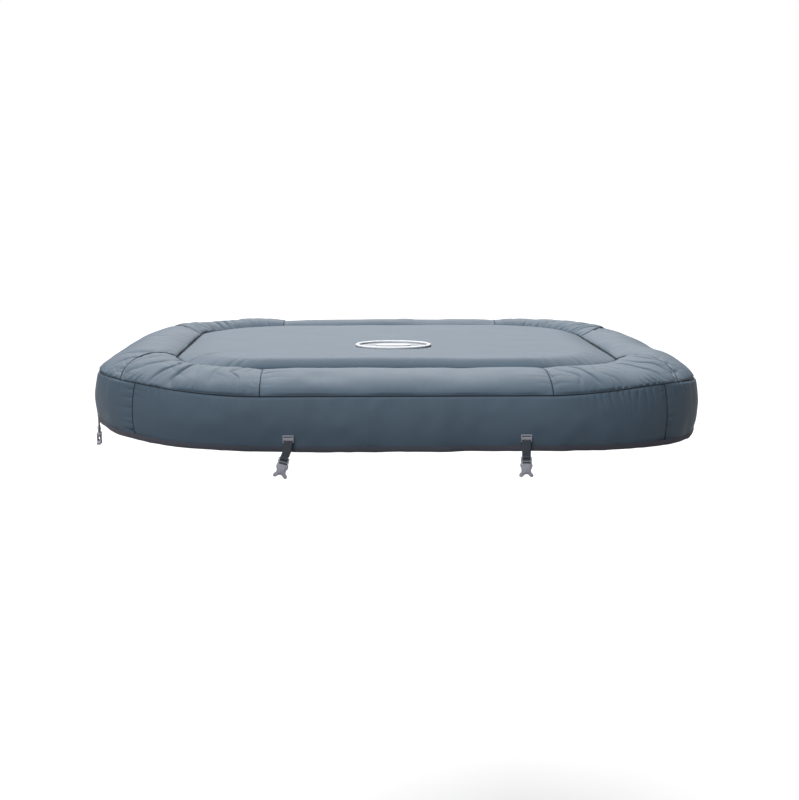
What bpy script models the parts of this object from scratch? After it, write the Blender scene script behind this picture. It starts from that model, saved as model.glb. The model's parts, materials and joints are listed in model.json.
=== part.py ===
"""Quilted top cover of a square inflatable hot tub, modelled as separate sewn, moulded and welded pieces.

Frame: metres, +Z up, -Y is the front. The origin is the centre of the flat underside of the cover, the
plane that rests on the tub's rim. The skirt, the straps and the buckles hang below that plane.
"""

import math

import bmesh
import bpy
from mathutils import Matrix, Vector

# Driving dimensions of the cover, in metres
HALF_WIDTH = 0.92
STRAIGHT_HALF = 0.40
INNER_HALF_WIDTH = 0.68
PLATEAU_HALF_WIDTH = 0.62
DOME_RING_HALF_WIDTHS = (0.52, 0.286)
SEAM_Z = 0.012
INNER_SEAM_Z = 0.066
PLATEAU_Z = 0.093
CENTRE_Z = 0.103
BORDER_RISE = 0.006
SKIRT_HEIGHT = 0.160
SKIRT_BULGE = 0.012
FABRIC = 0.0012
SEWN_GAP = 0.0018
GAP = 0.0003

# Hem binding
BINDING_HEIGHT = 0.015
BINDING_WALL = 0.0008

# Inflatable insert and the liner below it
INSERT_HALF_WIDTH = 0.885
INSERT_SKIN = 0.0005
INSERT_FLOOR_Z = 0.006
INSERT_CLEARANCE = 0.004
LINER_HALF_WIDTH = 0.905
LINER = 0.0010
WEB_SPACING = 0.24
WEB_COUNT = 5
WEB_END_CLEARANCE = 0.06
WEB_SKIN_CLEARANCE = 0.001

# Zip
ZIP_Y = 0.50
ZIP_LENGTH = 1.10
ZIP_TAPE_WIDTH = 0.014
ZIP_TAPE = 0.0008
CHAIN_WIDTH = 0.0026
CHAIN_HEIGHT = 0.0020
CHAIN_GAP = 0.0014
PULL_THICKNESS = 0.0012
SLIDER_LENGTH = 0.012
SLIDER_PLATE = 0.0009
SLIDER_CLEARANCE = 0.0004
SLIDER_FLANGE = 0.0020
SLIDER_START = 0.02
SLIDER_POST = (0.003, 0.0007)
SLIDER_POST_X = 0.003
SLIDER_EAR = (0.004, 0.0009, 0.0040)
SLIDER_EAR_Y = 0.0024
SLIDER_EAR_DROP = 0.0018
PULL_HINGE_DROP = 0.0026

# Inflation valve
VALVE_X = 0.0
VALVE_Y = 0.62
VALVE_FLANGE_RADIUS = 0.024
VALVE_BORE_RADIUS = 0.0075
VALVE_NECK_WALL = 0.0022
VALVE_NECK_DEPTH = 0.016
LINER_PORT_RADIUS = 0.036
VALVE_FLANGE = 0.0016
VALVE_SEAL_GAP = 0.0006
FLAP_THICKNESS = 0.0008
FLAP_OVERLAP = 0.001
LID_OVERLAP = 0.0035
LID_THICKNESS = 0.0016
LID_GAP = 0.0003
PLUG_LENGTH = 0.0065
PLUG_TAPER = (0.0010, 0.0022)
CUTTER_REACH = 0.01

# Oval badge
BADGE_X = -0.010
BADGE_Y = -0.265
BADGE_HALF = 0.1215
BADGE_RIM = 0.012
BADGE_THICKNESS = 0.003

# Straps and side-release buckle sockets
WEBBING = 0.025
WEBBING_THICKNESS = 0.0014
STRAPS = (
    ("front_a", "front", -0.320, 0.0),
    ("front_b", "front", 0.348, 0.0),
    ("right", "right", 0.0, 0.0),
    ("back_a", "back", -0.335, 0.0),
    ("back_b", "back", 0.335, 0.0),
    ("left_a", "left", -0.360, 0.012),
    ("left_b", "left", 0.360, 0.012),
)
KEEPER_TOP_ABOVE_HEM = 0.052
KEEPER_HEIGHT = 0.0215
KEEPER_WIDTH = 0.031
KEEPER_THICKNESS = 0.0026
KEEPER_STAND_OFF = 0.0022
KEEPER_BARS = ((0.0, 0.0035), (0.0065, 0.0148), (0.0186, KEEPER_HEIGHT))
STRAP_DROP = 0.043
BUCKLE_GAP = 0.0006
BUCKLE_THICKNESS = 0.0115
LADDER_HEIGHT = 0.0205
LADDER_SLOT = 0.0038
LADDER_SLOT_TOPS = (0.0040, 0.0130)
SOCKET_ROOF = 0.008
BUCKLE_BODY = 0.037
SOCKET_WIDTH = 0.029
SOCKET_THICKNESS = 0.0066
LEFT_STRAP_LEAN = math.radians(14.0)

HEM_Z = SEAM_Z - SKIRT_HEIGHT
CORNER_STEPS = 10
SIDE_SEAM_SWING = 0.41
SIDES = (("front", 0), ("right", 90), ("back", 180), ("left", 270))


def clear_scene():
    """Empties the scene before anything is built."""
    for item in list(bpy.data.objects):
        bpy.data.objects.remove(item, do_unlink=True)


def make_material(name, colour, roughness, metallic=0.0):
    """One Principled material."""
    material = bpy.data.materials.new(name)
    material.use_nodes = True
    shader = material.node_tree.nodes["Principled BSDF"]
    shader.inputs["Base Color"].default_value = (*colour, 1.0)
    shader.inputs["Roughness"].default_value = roughness
    shader.inputs["Metallic"].default_value = metallic
    return material


def add_object(name, mesh_builder, material, smooth_angle=40):
    """Turns a bmesh into a named object with outward faces and smooth shading."""
    mesh = bpy.data.meshes.new(name)
    bmesh.ops.recalc_face_normals(mesh_builder, faces=mesh_builder.faces)
    mesh_builder.to_mesh(mesh)
    mesh_builder.free()
    mesh.shade_smooth()
    mesh.set_sharp_from_angle(angle=math.radians(smooth_angle))
    mesh.materials.append(material)
    item = bpy.data.objects.new(name, mesh)
    bpy.context.scene.collection.objects.link(item)
    return item


def add_empty(name, location, turn_z=0.0, parent=None):
    """An empty that carries pieces at a place, turned about the vertical."""
    item = bpy.data.objects.new(name, None)
    item.location = location
    item.rotation_euler = (0.0, 0.0, math.radians(turn_z))
    item.parent = parent
    bpy.context.scene.collection.objects.link(item)
    return item


def outline_point(half_width, place):
    """A point of the rounded square whose straight sides lie half_width from the centre.

    place counts the outline's eight stretches anticlockwise: 0 to 1 is the front side, 1 to 2 the
    front right corner, 2 to 3 the right side, and so on round to 8.
    """
    stretch = math.floor(place)
    share = place - stretch
    if stretch % 2 == 0:
        point = Vector((STRAIGHT_HALF * (2 * share - 1), -half_width))
    else:
        reach = half_width - STRAIGHT_HALF
        angle = math.radians(90 * share)
        across = STRAIGHT_HALF + reach * math.sin(angle)
        point = Vector((across, -STRAIGHT_HALF - reach * math.cos(angle)))
    return Matrix.Rotation(math.radians(90 * (stretch // 2)), 2) @ point


def whole_outline():
    """Places all the way round: two on each straight side and ten on each corner."""
    places = []
    for side in range(4):
        places += [2 * side, 2 * side + 0.5]
        places += [2 * side + 1 + step / CORNER_STEPS for step in range(CORNER_STEPS)]
    return places


def stretch_of(start, end, half_width, steps):
    """Evenly spread places from start to end, less half a sewn gap at each end."""
    corner_length = 0.5 * math.pi * (half_width - STRAIGHT_HALF)
    trim = SEWN_GAP / 2 / min(corner_length, 2 * STRAIGHT_HALF)
    return [start + trim + (end - start - 2 * trim) * i / steps for i in range(steps + 1)]


def border_height(share):
    """Height of the padded border, from the inner seam (share 0) to the skirt's seam (share 1)."""
    fall = (1 - share ** 3) ** 0.75
    return SEAM_Z + (INNER_SEAM_Z - SEAM_Z) * fall + BORDER_RISE * math.sin(math.pi * share)


def border_profile(steps=8):
    """Half widths and heights of the border's outer surface, inner seam first."""
    inner = INNER_HALF_WIDTH + SEWN_GAP / 2
    outer = HALF_WIDTH - SEWN_GAP / 2
    shares = [math.sin(0.5 * math.pi * i / steps) for i in range(steps + 1)]
    return [(inner + (outer - inner) * share, border_height(share)) for share in shares]


def skirt_half_width(height):
    """Half width of the skirt's outer surface, which bulges a little at mid height."""
    share = (SEAM_Z - height) / SKIRT_HEIGHT
    return HALF_WIDTH + SKIRT_BULGE * 4 * share * (1 - share)


def skirt_profile(steps=4):
    """Half widths and heights of the skirt's outer surface, top first."""
    top = SEAM_Z - SEWN_GAP
    low = HEM_Z + BINDING_HEIGHT
    heights = [top + (low - top) * i / steps for i in range(steps + 1)]
    heights.append(HEM_Z + BINDING_WALL + 2 * GAP)
    return [(skirt_half_width(height), height) for height in heights]


def centre_profile():
    """Half widths and heights of the centre panel's outer surface, seam first, plateau next."""
    return [
        (INNER_HALF_WIDTH - SEWN_GAP / 2, INNER_SEAM_Z),
        (0.5 * (INNER_HALF_WIDTH + PLATEAU_HALF_WIDTH), INNER_SEAM_Z + 0.66 * (PLATEAU_Z - INNER_SEAM_Z)),
        (PLATEAU_HALF_WIDTH, PLATEAU_Z),
        (DOME_RING_HALF_WIDTHS[0], PLATEAU_Z + 0.45 * (CENTRE_Z - PLATEAU_Z)),
    ]


def swept_surface(profile, places_of=None):
    """A bmesh surface through one row of outline points for each half width and height of a profile.

    places_of gives a row's places from its half width; without it the rows run all the way round.
    """
    builder = bmesh.new()
    closed = places_of is None
    rows = []
    for half_width, height in profile:
        places = whole_outline() if closed else places_of(half_width)
        points = [outline_point(half_width, place) for place in places]
        rows.append([builder.verts.new((p.x, p.y, height)) for p in points])
    for upper, lower in zip(rows, rows[1:]):
        count = len(upper)
        for i in range(count if closed else count - 1):
            j = (i + 1) % count
            builder.faces.new((upper[i], lower[i], lower[j], upper[j]))
    return builder, rows


def thicken(item, thickness):
    """A Solidify modifier: the surface stays the outer side."""
    modifier = item.modifiers.new("Thickness", "SOLIDIFY")
    modifier.thickness = thickness
    modifier.offset = -1.0
    modifier.use_even_offset = True
    return item


def cut_with(item, cutter):
    """Cuts one object with another by an exact Boolean, and hides the cutter."""
    cutter.hide_render = True
    cutter.display_type = "WIRE"
    modifier = item.modifiers.new("Cut", "BOOLEAN")
    modifier.operation = "DIFFERENCE"
    modifier.solver = "EXACT"
    modifier.object = cutter
    return item


def box_builder(size, centre):
    """A bmesh box."""
    builder = bmesh.new()
    bmesh.ops.create_cube(builder, size=1.0)
    bmesh.ops.scale(builder, vec=size, verts=builder.verts)
    bmesh.ops.translate(builder, vec=centre, verts=builder.verts)
    return builder


def prism_builder(outline, low, high):
    """A closed prism along Y: an outline of (x, z) points, extruded from low to high."""
    builder = bmesh.new()
    face = builder.faces.new([builder.verts.new((x, low, z)) for x, z in outline])
    grown = bmesh.ops.extrude_face_region(builder, geom=[face])
    moved = [item for item in grown["geom"] if isinstance(item, bmesh.types.BMVert)]
    bmesh.ops.translate(builder, vec=(0, high - low, 0), verts=moved)
    return builder


def turned_builder(profile, centre, segments=24, closed=False):
    """A turned piece: (radius, z) points spun about the vertical through centre."""
    builder = bmesh.new()
    verts = [builder.verts.new((radius, 0, z)) for radius, z in profile]
    edges = [builder.edges.new(pair) for pair in zip(verts, verts[1:])]
    if closed:
        edges.append(builder.edges.new((verts[-1], verts[0])))
    bmesh.ops.spin(
        builder, geom=verts + edges, cent=(0, 0, 0), axis=(0, 0, 1),
        angle=math.tau, steps=segments, use_merge=True,
    )
    bmesh.ops.remove_doubles(builder, verts=builder.verts, dist=0.00001)
    bmesh.ops.translate(builder, vec=centre, verts=builder.verts)
    return builder


def disc_builder(radius, low, high, segments=24):
    """A solid disc about the vertical, from low to high."""
    return turned_builder([(0, low), (radius, low), (radius, high), (0, high)], (0, 0, 0), segments)


# Fabric cover

def build_centre_panel(fabric):
    """The light panel in the middle: a sloped band up from the seam, then a shallow dome."""
    builder, rows = swept_surface(centre_profile())
    outer = rows[-1]
    share = DOME_RING_HALF_WIDTHS[1] / DOME_RING_HALF_WIDTHS[0]
    height = PLATEAU_Z + (CENTRE_Z - PLATEAU_Z) * (1 - share * share)
    inner = [builder.verts.new((vert.co.x * share, vert.co.y * share, height)) for vert in outer]
    top = builder.verts.new((0, 0, CENTRE_Z))
    for i, vert in enumerate(outer):
        j = (i + 1) % len(outer)
        builder.faces.new((vert, inner[i], inner[j], outer[j]))
        builder.faces.new((inner[i], top, inner[j]))
    thicken(add_object("centre_panel", builder, fabric), FABRIC)


def seam_swing(half_width):
    """How far the side seams of the border swing into the corner, in stretches, towards the skirt."""
    share = (half_width - INNER_HALF_WIDTH) / (HALF_WIDTH - INNER_HALF_WIDTH)
    return SIDE_SEAM_SWING * share


def build_border(fabric):
    """The padded border: two short strips, two long side strips and four corner pieces."""

    def piece(name, start, end, swing_start, swing_end, steps):
        def places_of(half_width):
            swing = seam_swing(half_width)
            return stretch_of(start + swing_start * swing, end + swing_end * swing, half_width, steps)

        builder, _ = swept_surface(border_profile(), places_of)
        thicken(add_object(name, builder, fabric), FABRIC)

    piece("border_strip_front", 0, 1, 0, 0, 2)
    piece("border_corner_front_right", 1, 2, 0, -1, CORNER_STEPS)
    piece("border_strip_right", 2, 3, -1, 1, 2 * CORNER_STEPS)
    piece("border_corner_back_right", 3, 4, 1, 0, CORNER_STEPS)
    piece("border_strip_back", 4, 5, 0, 0, 2)
    piece("border_corner_back_left", 5, 6, 0, -1, CORNER_STEPS)
    piece("border_strip_left", 6, 7, -1, 1, 2 * CORNER_STEPS)
    piece("border_corner_front_left", 7, 8, 1, 0, CORNER_STEPS)


def build_skirt(fabric):
    """The skirt: one panel for each side, joined by upright seams at the middle of the corners."""
    for index, (side, _) in enumerate(SIDES):
        middle = 2 * index + 8.5

        def places_of(half_width, middle=middle):
            start, end = stretch_of(middle - 1, middle + 1, half_width, 1)
            inner = [place + turn for turn in (0, 8) for place in whole_outline()]
            return [start] + [place for place in inner if start + 0.01 < place < end - 0.01] + [end]

        builder, _ = swept_surface(skirt_profile(), places_of)
        thicken(add_object(f"skirt_{side}", builder, fabric), FABRIC)


def build_hem_binding(tape):
    """The binding tape folded round the hem: a U-shaped channel swept round the outline."""
    outer = BINDING_WALL + GAP
    top = HEM_Z + BINDING_HEIGHT

    def at(offset, height):
        return (skirt_half_width(max(height, HEM_Z)) + offset, height)

    section = [
        at(outer, top), at(outer, HEM_Z), at(-FABRIC - outer, HEM_Z), at(-FABRIC - outer, top),
        at(-FABRIC - GAP, top), at(-FABRIC - GAP, HEM_Z + BINDING_WALL),
        at(GAP, HEM_Z + BINDING_WALL), at(GAP, top), at(outer, top),
    ]
    builder, _ = swept_surface(section)
    bmesh.ops.remove_doubles(builder, verts=builder.verts, dist=0.00001)
    add_object("hem_binding", builder, tape)


# Inflatable insert

def inside_height(half_width):
    """Height of the insert's top skin, a few millimetres under the cover's panels."""
    if half_width >= INNER_HALF_WIDTH:
        share = (half_width - INNER_HALF_WIDTH) / (HALF_WIDTH - INNER_HALF_WIDTH)
        return border_height(share) - INSERT_CLEARANCE
    if half_width >= PLATEAU_HALF_WIDTH:
        share = (INNER_HALF_WIDTH - half_width) / (INNER_HALF_WIDTH - PLATEAU_HALF_WIDTH)
        return INNER_SEAM_Z + share * (PLATEAU_Z - INNER_SEAM_Z) - INSERT_CLEARANCE
    return PLATEAU_Z - INSERT_CLEARANCE


def build_insert(vinyl):
    """The inflatable insert: a thin closed skin, open only at the hole of its valve."""
    rim = INSERT_HALF_WIDTH
    middle = 0.5 * (INSERT_FLOOR_Z + inside_height(rim - 0.02))
    profile = [(STRAIGHT_HALF + 0.01, inside_height(STRAIGHT_HALF + 0.01))]
    for half_width in (PLATEAU_HALF_WIDTH, INNER_HALF_WIDTH, 0.76, rim - 0.035, rim - 0.012):
        profile.append((half_width, inside_height(half_width)))
    profile += [(rim, middle), (rim - 0.012, INSERT_FLOOR_Z + 0.006), (rim - 0.035, INSERT_FLOOR_Z)]
    profile.append((STRAIGHT_HALF + 0.01, INSERT_FLOOR_Z))
    builder, rows = swept_surface(profile)
    builder.faces.new(rows[0])
    builder.faces.new(list(reversed(rows[-1])))
    insert = thicken(add_object("inflatable_insert", builder, vinyl), INSERT_SKIN)
    hole = disc_builder(VALVE_BORE_RADIUS + VALVE_NECK_WALL + GAP, -CUTTER_REACH, CUTTER_REACH)
    bmesh.ops.translate(hole, vec=(VALVE_X, VALVE_Y, INSERT_FLOOR_Z), verts=hole.verts)
    cut_with(insert, add_object("valve_hole_cutter", hole, vinyl))


def build_webs(vinyl):
    """The inner webs that hold the insert flat: upright strips between its two skins."""
    length = 2 * (PLATEAU_HALF_WIDTH - WEB_END_CLEARANCE)
    low = INSERT_FLOOR_Z + INSERT_SKIN + WEB_SKIN_CLEARANCE
    high = PLATEAU_Z - INSERT_CLEARANCE - INSERT_SKIN - WEB_SKIN_CLEARANCE
    for index in range(WEB_COUNT):
        y = (index - (WEB_COUNT - 1) / 2) * WEB_SPACING
        shape = box_builder((length, INSERT_SKIN, high - low), (0, y, 0.5 * (low + high)))
        add_object(f"insert_web_{index + 1}", shape, vinyl)


# Liner and zip

def build_liner(lining):
    """The liner under the insert, with a slot for the zip and a round port for the valve."""
    builder = bmesh.new()
    outline = [outline_point(LINER_HALF_WIDTH, place) for place in whole_outline()]
    face = builder.faces.new([builder.verts.new((point.x, point.y, 0)) for point in outline])
    grown = bmesh.ops.extrude_face_region(builder, geom=[face])
    moved = [item for item in grown["geom"] if isinstance(item, bmesh.types.BMVert)]
    bmesh.ops.translate(builder, vec=(0, 0, LINER), verts=moved)
    liner = add_object("liner", builder, lining)
    slot_size = (ZIP_LENGTH, 2 * (CHAIN_WIDTH + 0.004), 2 * CUTTER_REACH)
    slot = add_object("zip_slot_cutter", box_builder(slot_size, (0, ZIP_Y, 0)), lining)
    port_shape = disc_builder(LINER_PORT_RADIUS, -CUTTER_REACH, CUTTER_REACH, segments=32)
    bmesh.ops.translate(port_shape, vec=(VALVE_X, VALVE_Y, 0), verts=port_shape.verts)
    cut_with(liner, slot)
    cut_with(liner, add_object("valve_port_cutter", port_shape, lining))


def pull_outline():
    """Outline of the zip's pull tab: a cross pin at the top, a neck, then the widening tab."""
    half = [(0.0017, 0.0006), (0.0017, -0.0006), (0.0012, -0.0006), (0.0012, -0.0030)]
    half += [(0.0030, -0.0046), (0.0036, -0.0240), (0.0024, -0.0260)]
    return half + [(-across, height) for across, height in reversed(half)]


def build_zip_rows(tape):
    """Two tapes, each with its row of teeth."""
    chain_low = LINER + GAP
    for name, side in (("front", -1), ("back", 1)):
        tape_y = ZIP_Y + side * (CHAIN_GAP / 2 + CHAIN_WIDTH + GAP + ZIP_TAPE_WIDTH / 2)
        tape_size = (ZIP_LENGTH + 0.02, ZIP_TAPE_WIDTH, ZIP_TAPE)
        strip = box_builder(tape_size, (0, tape_y, chain_low + ZIP_TAPE / 2))
        add_object(f"zip_tape_{name}", strip, tape)
        chain_y = ZIP_Y + side * (CHAIN_GAP / 2 + CHAIN_WIDTH / 2)
        chain_size = (ZIP_LENGTH - 0.01, CHAIN_WIDTH, CHAIN_HEIGHT)
        chain = box_builder(chain_size, (0, chain_y, chain_low + CHAIN_HEIGHT / 2))
        add_object(f"zip_chain_{name}", chain, tape)


def build_zip_slider(metal):
    """The slider: a plate above the teeth and one below, a post between them and two ears; and its pull."""
    carrier = add_empty("zip_slider_place", (SLIDER_START - ZIP_LENGTH / 2, ZIP_Y, LINER + GAP))
    width = 2 * (CHAIN_WIDTH + SLIDER_FLANGE) + CHAIN_GAP
    plate = (SLIDER_LENGTH, width, SLIDER_PLATE)
    upper_z = CHAIN_HEIGHT + SLIDER_CLEARANCE + SLIDER_PLATE / 2
    lower_z = -SLIDER_CLEARANCE - SLIDER_PLATE / 2
    underside = lower_z - SLIDER_PLATE / 2
    body = add_object("zip_slider", box_builder(plate, (0, 0, upper_z)), metal)
    body.parent = carrier
    post = (*SLIDER_POST, upper_z - lower_z)
    shapes = [("lower", box_builder(plate, (0, 0, lower_z)))]
    shapes.append(("post", box_builder(post, (SLIDER_POST_X, 0, CHAIN_HEIGHT / 2))))
    for name, side in (("ear_left", -1), ("ear_right", 1)):
        place = (0, side * SLIDER_EAR_Y, underside - SLIDER_EAR_DROP)
        shapes.append((name, box_builder(SLIDER_EAR, place)))
    for name, shape in shapes:
        guide = add_object(f"zip_slider_{name}_guide", shape, metal)
        guide.parent = carrier
        guide.hide_render = True
        guide.display_type = "WIRE"
        union = body.modifiers.new("Join", "BOOLEAN")
        union.operation = "UNION"
        union.solver = "EXACT"
        union.object = guide
    hinge = add_empty("zip_pull_hinge", (0, 0, underside - PULL_HINGE_DROP), parent=carrier)
    pull = prism_builder(pull_outline(), -PULL_THICKNESS / 2, PULL_THICKNESS / 2)
    bmesh.ops.rotate(pull, matrix=Matrix.Rotation(math.radians(90), 3, "Z"), verts=pull.verts)
    add_object("zip_pull", pull, metal).parent = hinge


def build_valve(vinyl):
    """Valve base welded round the insert's hole, its hinged cap and the check flap inside."""
    bore = VALVE_BORE_RADIUS
    neck = bore + VALVE_NECK_WALL
    profile = [
        (bore, -VALVE_FLANGE), (VALVE_FLANGE_RADIUS, -VALVE_FLANGE), (VALVE_FLANGE_RADIUS, -GAP),
        (neck, -GAP), (neck, VALVE_NECK_DEPTH), (bore, VALVE_NECK_DEPTH),
    ]
    centre = (VALVE_X, VALVE_Y, INSERT_FLOOR_Z)
    add_object("valve_base", turned_builder(profile, centre, closed=True), vinyl)
    flap_radius = bore + FLAP_OVERLAP
    flap = disc_builder(flap_radius, 0, FLAP_THICKNESS)
    bmesh.ops.translate(flap, vec=(0, -flap_radius, 0), verts=flap.verts)
    flap_z = INSERT_FLOOR_Z + VALVE_NECK_DEPTH + VALVE_SEAL_GAP
    hinge = add_empty("valve_flap_hinge", (VALVE_X, VALVE_Y + flap_radius, flap_z))
    add_object("valve_flap", flap, vinyl).parent = hinge
    lid_radius = neck + LID_OVERLAP
    hinge_offset = lid_radius + FLAP_OVERLAP
    lid = turned_builder(
        [(0, -LID_THICKNESS), (lid_radius, -LID_THICKNESS), (lid_radius, 0), (bore - PLUG_TAPER[0], 0),
         (bore - PLUG_TAPER[1], PLUG_LENGTH), (0, PLUG_LENGTH)],
        (0, -hinge_offset, 0),
    )
    lid_z = INSERT_FLOOR_Z - VALVE_FLANGE - LID_GAP
    hinge = add_empty("valve_cap_hinge", (VALVE_X, VALVE_Y + hinge_offset, lid_z))
    add_object("valve_cap", lid, vinyl).parent = hinge


# Badge

def dome_height(x, y):
    """Height of the centre panel's dome near the badge."""
    reach = max(abs(x), abs(y)) / PLATEAU_HALF_WIDTH
    return PLATEAU_Z + (CENTRE_Z - PLATEAU_Z) * (1 - reach * reach)


def build_badge(plate_material, rim_material):
    """A plain oval badge: a flat plate inside a raised rim, both without any marking."""
    top = dome_height(BADGE_X, BADGE_Y) + 0.0012
    inner = BADGE_HALF - BADGE_RIM
    plate = disc_builder(inner - GAP, top, top + 0.6 * BADGE_THICKNESS, segments=40)
    bmesh.ops.translate(plate, vec=(BADGE_X, BADGE_Y, 0), verts=plate.verts)
    add_object("badge_plate", plate, plate_material)
    rim = turned_builder(
        [(inner, top), (BADGE_HALF, top), (BADGE_HALF - 0.001, top + BADGE_THICKNESS),
         (inner + 0.001, top + BADGE_THICKNESS)],
        (BADGE_X, BADGE_Y, 0), segments=40, closed=True,
    )
    add_object("badge_rim", rim, rim_material)


# Straps

def skirt_slope(keeper_z):
    """Angle from the vertical of the skirt's surface behind the keepers."""
    top = skirt_half_width(keeper_z)
    bottom = skirt_half_width(keeper_z - KEEPER_HEIGHT)
    return math.atan2(top - bottom, KEEPER_HEIGHT)


def keeper_builder():
    """The keeper: a flat moulded plate with an upper and a lower slot, its top edge at z = 0."""
    half = KEEPER_WIDTH / 2
    rail = (KEEPER_WIDTH - WEBBING - 0.002) / 2
    builder = bmesh.new()
    xs = (-half, -half + rail, half - rail, half)
    zs = [-edge for bar in KEEPER_BARS for edge in bar]
    grid = [[builder.verts.new((x, -KEEPER_THICKNESS / 2, z)) for x in xs] for z in zs]
    for row in range(len(zs) - 1):
        is_bar = row % 2 == 0
        for column in range(3):
            if is_bar or column != 1:
                upper, lower = grid[row], grid[row + 1]
                builder.faces.new((upper[column], upper[column + 1], lower[column + 1], lower[column]))
    grown = bmesh.ops.extrude_face_region(builder, geom=list(builder.faces))
    moved = [item for item in grown["geom"] if isinstance(item, bmesh.types.BMVert)]
    bmesh.ops.translate(builder, vec=(0, KEEPER_THICKNESS, 0), verts=moved)
    return builder


def arc(centre_x, centre_z, radius, start, end, steps):
    """Points of an arc in the buckle's plane, angles in degrees."""
    points = []
    for step in range(steps + 1):
        angle = math.radians(start + (end - start) * step / steps)
        points.append((centre_x + radius * math.cos(angle), centre_z + radius * math.sin(angle)))
    return points


def buckle_outline():
    """Half of the buckle's outline, x >= 0, from the top of the ladder to the middle of the mouth arch."""
    shoulder = -LADDER_HEIGHT
    foot = -LADDER_HEIGHT - BUCKLE_BODY
    points = [(0.0145, 0.0), (0.0155, -0.002), (0.0155, shoulder + 0.003), (0.0173, shoulder - 0.003)]
    points += [(0.0168, shoulder - 0.007), (0.0137, shoulder - 0.014), (0.0130, shoulder - 0.018)]
    points += [(0.0140, shoulder - 0.023)]
    points += arc(0.0150, foot + 0.0052, 0.0050, 55, -120, 6)
    points += arc(0.0, foot - 0.0005, 0.0095, 25, 90, 5)
    return points


def buckle_builder():
    """The socket half of a side-release buckle, solid, before its slots and its socket are cut."""
    half = buckle_outline()
    mirrored = [(-x, z) for x, z in reversed(half) if x > 0.0001]
    return prism_builder(half + mirrored, -BUCKLE_THICKNESS / 2, BUCKLE_THICKNESS / 2)


def buckle_cutters():
    """Solids cut from the buckle: two strap slots, the thinning of the ladder, and the socket."""
    slot = (WEBBING + 0.0006, 0.03, LADDER_SLOT)
    thinning = (0.05, 0.01, LADDER_HEIGHT)
    thinning_y = BUCKLE_THICKNESS / 2 + 0.0015
    thinning_z = -LADDER_HEIGHT / 2 + 0.001
    depth = BUCKLE_BODY + 0.002
    socket = (SOCKET_WIDTH, SOCKET_THICKNESS, depth)
    cuts = [box_builder(slot, (0, 0, -top - LADDER_SLOT / 2)) for top in LADDER_SLOT_TOPS]
    cuts += [box_builder(thinning, (0, side * thinning_y, thinning_z)) for side in (-1, 1)]
    cuts.append(box_builder(socket, (0, 0, -LADDER_HEIGHT - SOCKET_ROOF - depth / 2)))
    return cuts


def build_strap(name, side_empty, x, lift, lean, materials):
    """One strap: keeper, webbing and buckle socket, hung on their joint axes."""
    webbing_material, plastic = materials
    keeper_z = HEM_Z + KEEPER_TOP_ABOVE_HEM + lift
    slope = skirt_slope(keeper_z)
    face = skirt_half_width(keeper_z) + KEEPER_STAND_OFF
    keeper = add_object(f"strap_keeper_{name}", keeper_builder(), plastic, 30)
    keeper.parent = side_empty
    keeper.location = (x, -face, keeper_z)
    keeper.rotation_euler = (slope, 0, 0)
    drop = KEEPER_HEIGHT - 0.0015
    hinge_y = -face + drop * math.sin(slope) - KEEPER_THICKNESS / 2 - GAP - WEBBING_THICKNESS / 2
    hinge_z = keeper_z - drop * math.cos(slope)
    swing = add_empty(f"strap_swing_{name}", (x, hinge_y, hinge_z), parent=side_empty)
    half = WEBBING / 2
    foot_x = -STRAP_DROP * math.tan(lean)
    knee_x = 0.35 * foot_x
    knee_z = -0.6 * STRAP_DROP
    tip = half * math.sin(lean)
    reach = half * math.cos(lean)
    outline = [
        (-half, 0), (half, 0), (knee_x + half, knee_z), (foot_x + reach, -STRAP_DROP - tip),
        (foot_x - reach, -STRAP_DROP + tip), (knee_x - half, knee_z),
    ]
    outline.reverse()
    builder = prism_builder(outline, -WEBBING_THICKNESS / 2, WEBBING_THICKNESS / 2)
    add_object(f"strap_webbing_{name}", builder, webbing_material).parent = swing
    pivot = add_empty(f"buckle_pivot_{name}", (foot_x, 0, -STRAP_DROP), parent=swing)
    pivot.rotation_euler = (0, lean, 0)
    buckle = add_object(f"buckle_socket_{name}", buckle_builder(), plastic, 35)
    buckle.parent = pivot
    buckle.location = (0, 0, -BUCKLE_GAP)
    for index, cut in enumerate(buckle_cutters()):
        cutter = add_object(f"buckle_cutter_{name}_{index}", cut, plastic)
        cutter.parent = buckle
        cut_with(buckle, cutter)


def build_straps(webbing_material, plastic):
    """Two straps in front, at the back and on the left, and one at the middle of the right side."""
    empties = {side: add_empty(f"side_{side}", (0, 0, 0), turn) for side, turn in SIDES}
    for name, side, x, lift in STRAPS:
        lean = LEFT_STRAP_LEAN if name == "front_a" else 0.0
        build_strap(name, empties[side], x, lift, lean, (webbing_material, plastic))


def main():
    clear_scene()
    fabric = make_material("cover_fabric", (0.105, 0.150, 0.200), 0.62)
    lining = make_material("liner_fabric", (0.35, 0.36, 0.37), 0.60)
    vinyl = make_material("clear_vinyl", (0.45, 0.50, 0.54), 0.35)
    tape = make_material("binding_tape", (0.070, 0.072, 0.090), 0.80)
    webbing_material = make_material("strap_webbing", (0.030, 0.036, 0.045), 0.85)
    plastic = make_material("buckle_plastic", (0.270, 0.270, 0.315), 0.45)
    white = make_material("badge_white", (0.80, 0.80, 0.80), 0.40)
    blue = make_material("badge_blue", (0.200, 0.260, 0.320), 0.45)
    metal = make_material("zip_metal", (0.45, 0.45, 0.46), 0.35, 1.0)
    build_centre_panel(fabric)
    build_border(fabric)
    build_skirt(fabric)
    build_hem_binding(tape)
    build_insert(vinyl)
    build_webs(vinyl)
    build_liner(lining)
    build_zip_rows(tape)
    build_zip_slider(metal)
    build_valve(vinyl)
    build_badge(blue, white)
    build_straps(webbing_material, plastic)


main()
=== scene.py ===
import json
import math

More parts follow.
